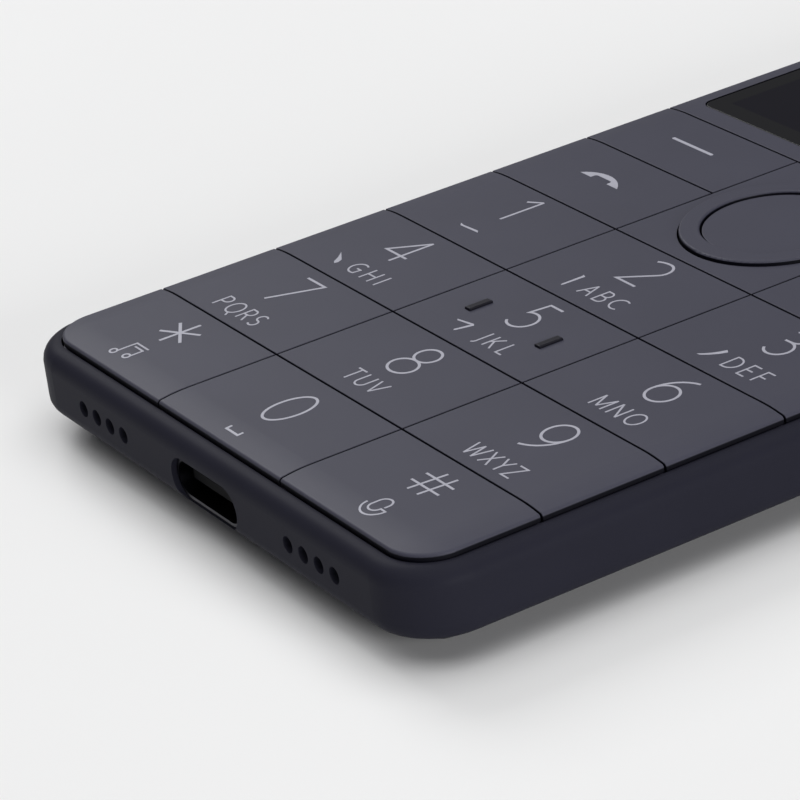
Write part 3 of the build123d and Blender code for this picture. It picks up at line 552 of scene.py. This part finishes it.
def print_key(key, marks):
    """Joins a key's marks to one printed piece, laid on the key's surface, that rides on the key."""
    bm = bmesh.new()
    for mesh in marks:
        bm.from_mesh(mesh)
        bpy.data.meshes.remove(mesh)
    if key in BOTTOM_ROW:
        for cut in range(1, ROLL_CUTS):
            bmesh.ops.bisect_plane(bm, geom=bm.verts[:] + bm.edges[:] + bm.faces[:], plane_no=(0, 1, 0),
                                   plane_co=(0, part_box(key)[0][1] + cut * ROLL_STEP, 0))
    to_key = nodes[key].matrix_world.inverted()
    for vert in bm.verts:
        over = to_key @ Vector((vert.co.x, vert.co.y, KEY_TOP + DROP_FROM))
        hit, point, _, _ = nodes[key].ray_cast(over, (0, 0, -1))
        if hit:
            vert.co.z += (nodes[key].matrix_world @ point).z - KEY_TOP
    piece = made("print_" + key, bm, ink)
    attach(piece, key)


# Marks gathered by key. Some names here are pieces under the keys, which get none.
prints = {key: [] for key in nodes if key.startswith(("key_", "softkey_", "call_key", "end_key"))}
for row, (height, rise) in numeral_rows.items():
    for name in row:
        prints["key_" + name].append(numeral("key_" + name, name, height, rise))
for key, (letters, x, y, width) in letter_rows.items():
    prints[key] += word(key, letters, x, y, width)
for key, lines in line_marks.items():
    prints[key] += [inked(strokes, printed_at(key, 0, 0, 1), pen * MM) for pen, strokes in lines]
for key, outline in fill_marks.items():
    prints[key].append(filled(outline, printed_at(key, 0, 0, 1)))
for key, marks in prints.items():
    if marks:
        print_key(key, marks)

# Socket contacts: a row of gold pads on each side of the tongue
tongue_middle = (TONGUE_LOW[2] + TONGUE_HIGH[2]) / 2
bm = bmesh.new()
for face_side in (-1, 1):
    for column in range(PADS):
        middle = ((column - (PADS - 1) / 2) * PAD_PITCH, TONGUE_LOW[1] + PAD_INSET + PAD_LENGTH / 2,
                  tongue_middle + face_side * TONGUE_HALF)
        pad = Matrix.Translation(middle) @ Matrix.Diagonal((PAD_WIDTH, PAD_LENGTH, PAD_THICK, 1))
        bmesh.ops.create_cube(bm, size=1, matrix=pad)
bmesh.ops.bevel(bm, geom=bm.edges[:], offset=PAD_EDGE, affect="EDGES", segments=2, profile=0.5,
                material=-1)
contacts = made("usb_contacts", bm, gold_plating())
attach(contacts, "phone_body")

# Floor: a pale paper sweep, faintly mottled
floor_paper = plain_grain("pale_sweep_paper", "EDEDED", "F1F1F1", 60, 0.6, 0.002,
                          Roughness=0.9, IOR=1.3)
bm = bmesh.new()
bmesh.ops.create_grid(bm, x_segments=2, y_segments=2, size=FLOOR_REACH)
bmesh.ops.translate(bm, verts=bm.verts, vec=(0, 0, cad_box[0][2] - FLOOR_GAP))
floor = made("floor", bm, floor_paper)

# Light: a dim dome, a softbox on the left, a wide one overhead and a low one on the right
scene.view_settings.view_transform = "Standard"
world = bpy.data.worlds.new("studio_dome")
world.use_nodes = True
dome = world.node_tree
dome.nodes.clear()
glow = add(dome, "ShaderNodeBackground", {"Color": DOME_TINT, "Strength": DOME_LIGHT})
add(dome, "ShaderNodeOutputWorld", {"Surface": glow.outputs["Background"]})
scene.world = world


def softbox(name, where, size, watts):
    """A rectangular soft light that faces the phone."""
    light = bpy.data.lights.new(name, "AREA")
    light.shape, light.size, light.size_y, light.energy = "RECTANGLE", *size, watts
    lamp = bpy.data.objects.new(name, light)
    lamp.location = where
    lamp.rotation_euler = (-Vector(where)).to_track_quat("-Z", "Y").to_euler()
    scene.collection.objects.link(lamp)


softbox("softbox_left", (-0.8, 0.08, 0.62), (0.48, 0.5), 3.9)
softbox("softbox_above", (0.05, -0.05, 1.0), (1.4, 1.4), 9.8)
softbox("softbox_right", (0.85, 0.0, 0.2), (0.5, 0.3), 4.2)

# Camera
forward = Vector((-sin(AZIMUTH) * cos(ELEVATION), cos(AZIMUTH) * cos(ELEVATION), -sin(ELEVATION)))
level_right = forward.cross(Vector((0, 0, 1))).normalized()
level_up = level_right.cross(forward)
right = level_right * cos(ROLL) + level_up * sin(ROLL)
up = level_up * cos(ROLL) - level_right * sin(ROLL)
lens = bpy.data.cameras.new("camera")
lens.sensor_width = SENSOR_WIDTH
lens.lens = FOCAL_PIXELS * SENSOR_WIDTH / IMAGE_PIXELS
lens.clip_start = CLIP_START
camera = bpy.data.objects.new("camera", lens)
camera.matrix_world = Matrix.Translation(EYE) @ Matrix((right, up, -forward)).transposed().to_4x4()
scene.collection.objects.link(camera)
scene.camera = camera
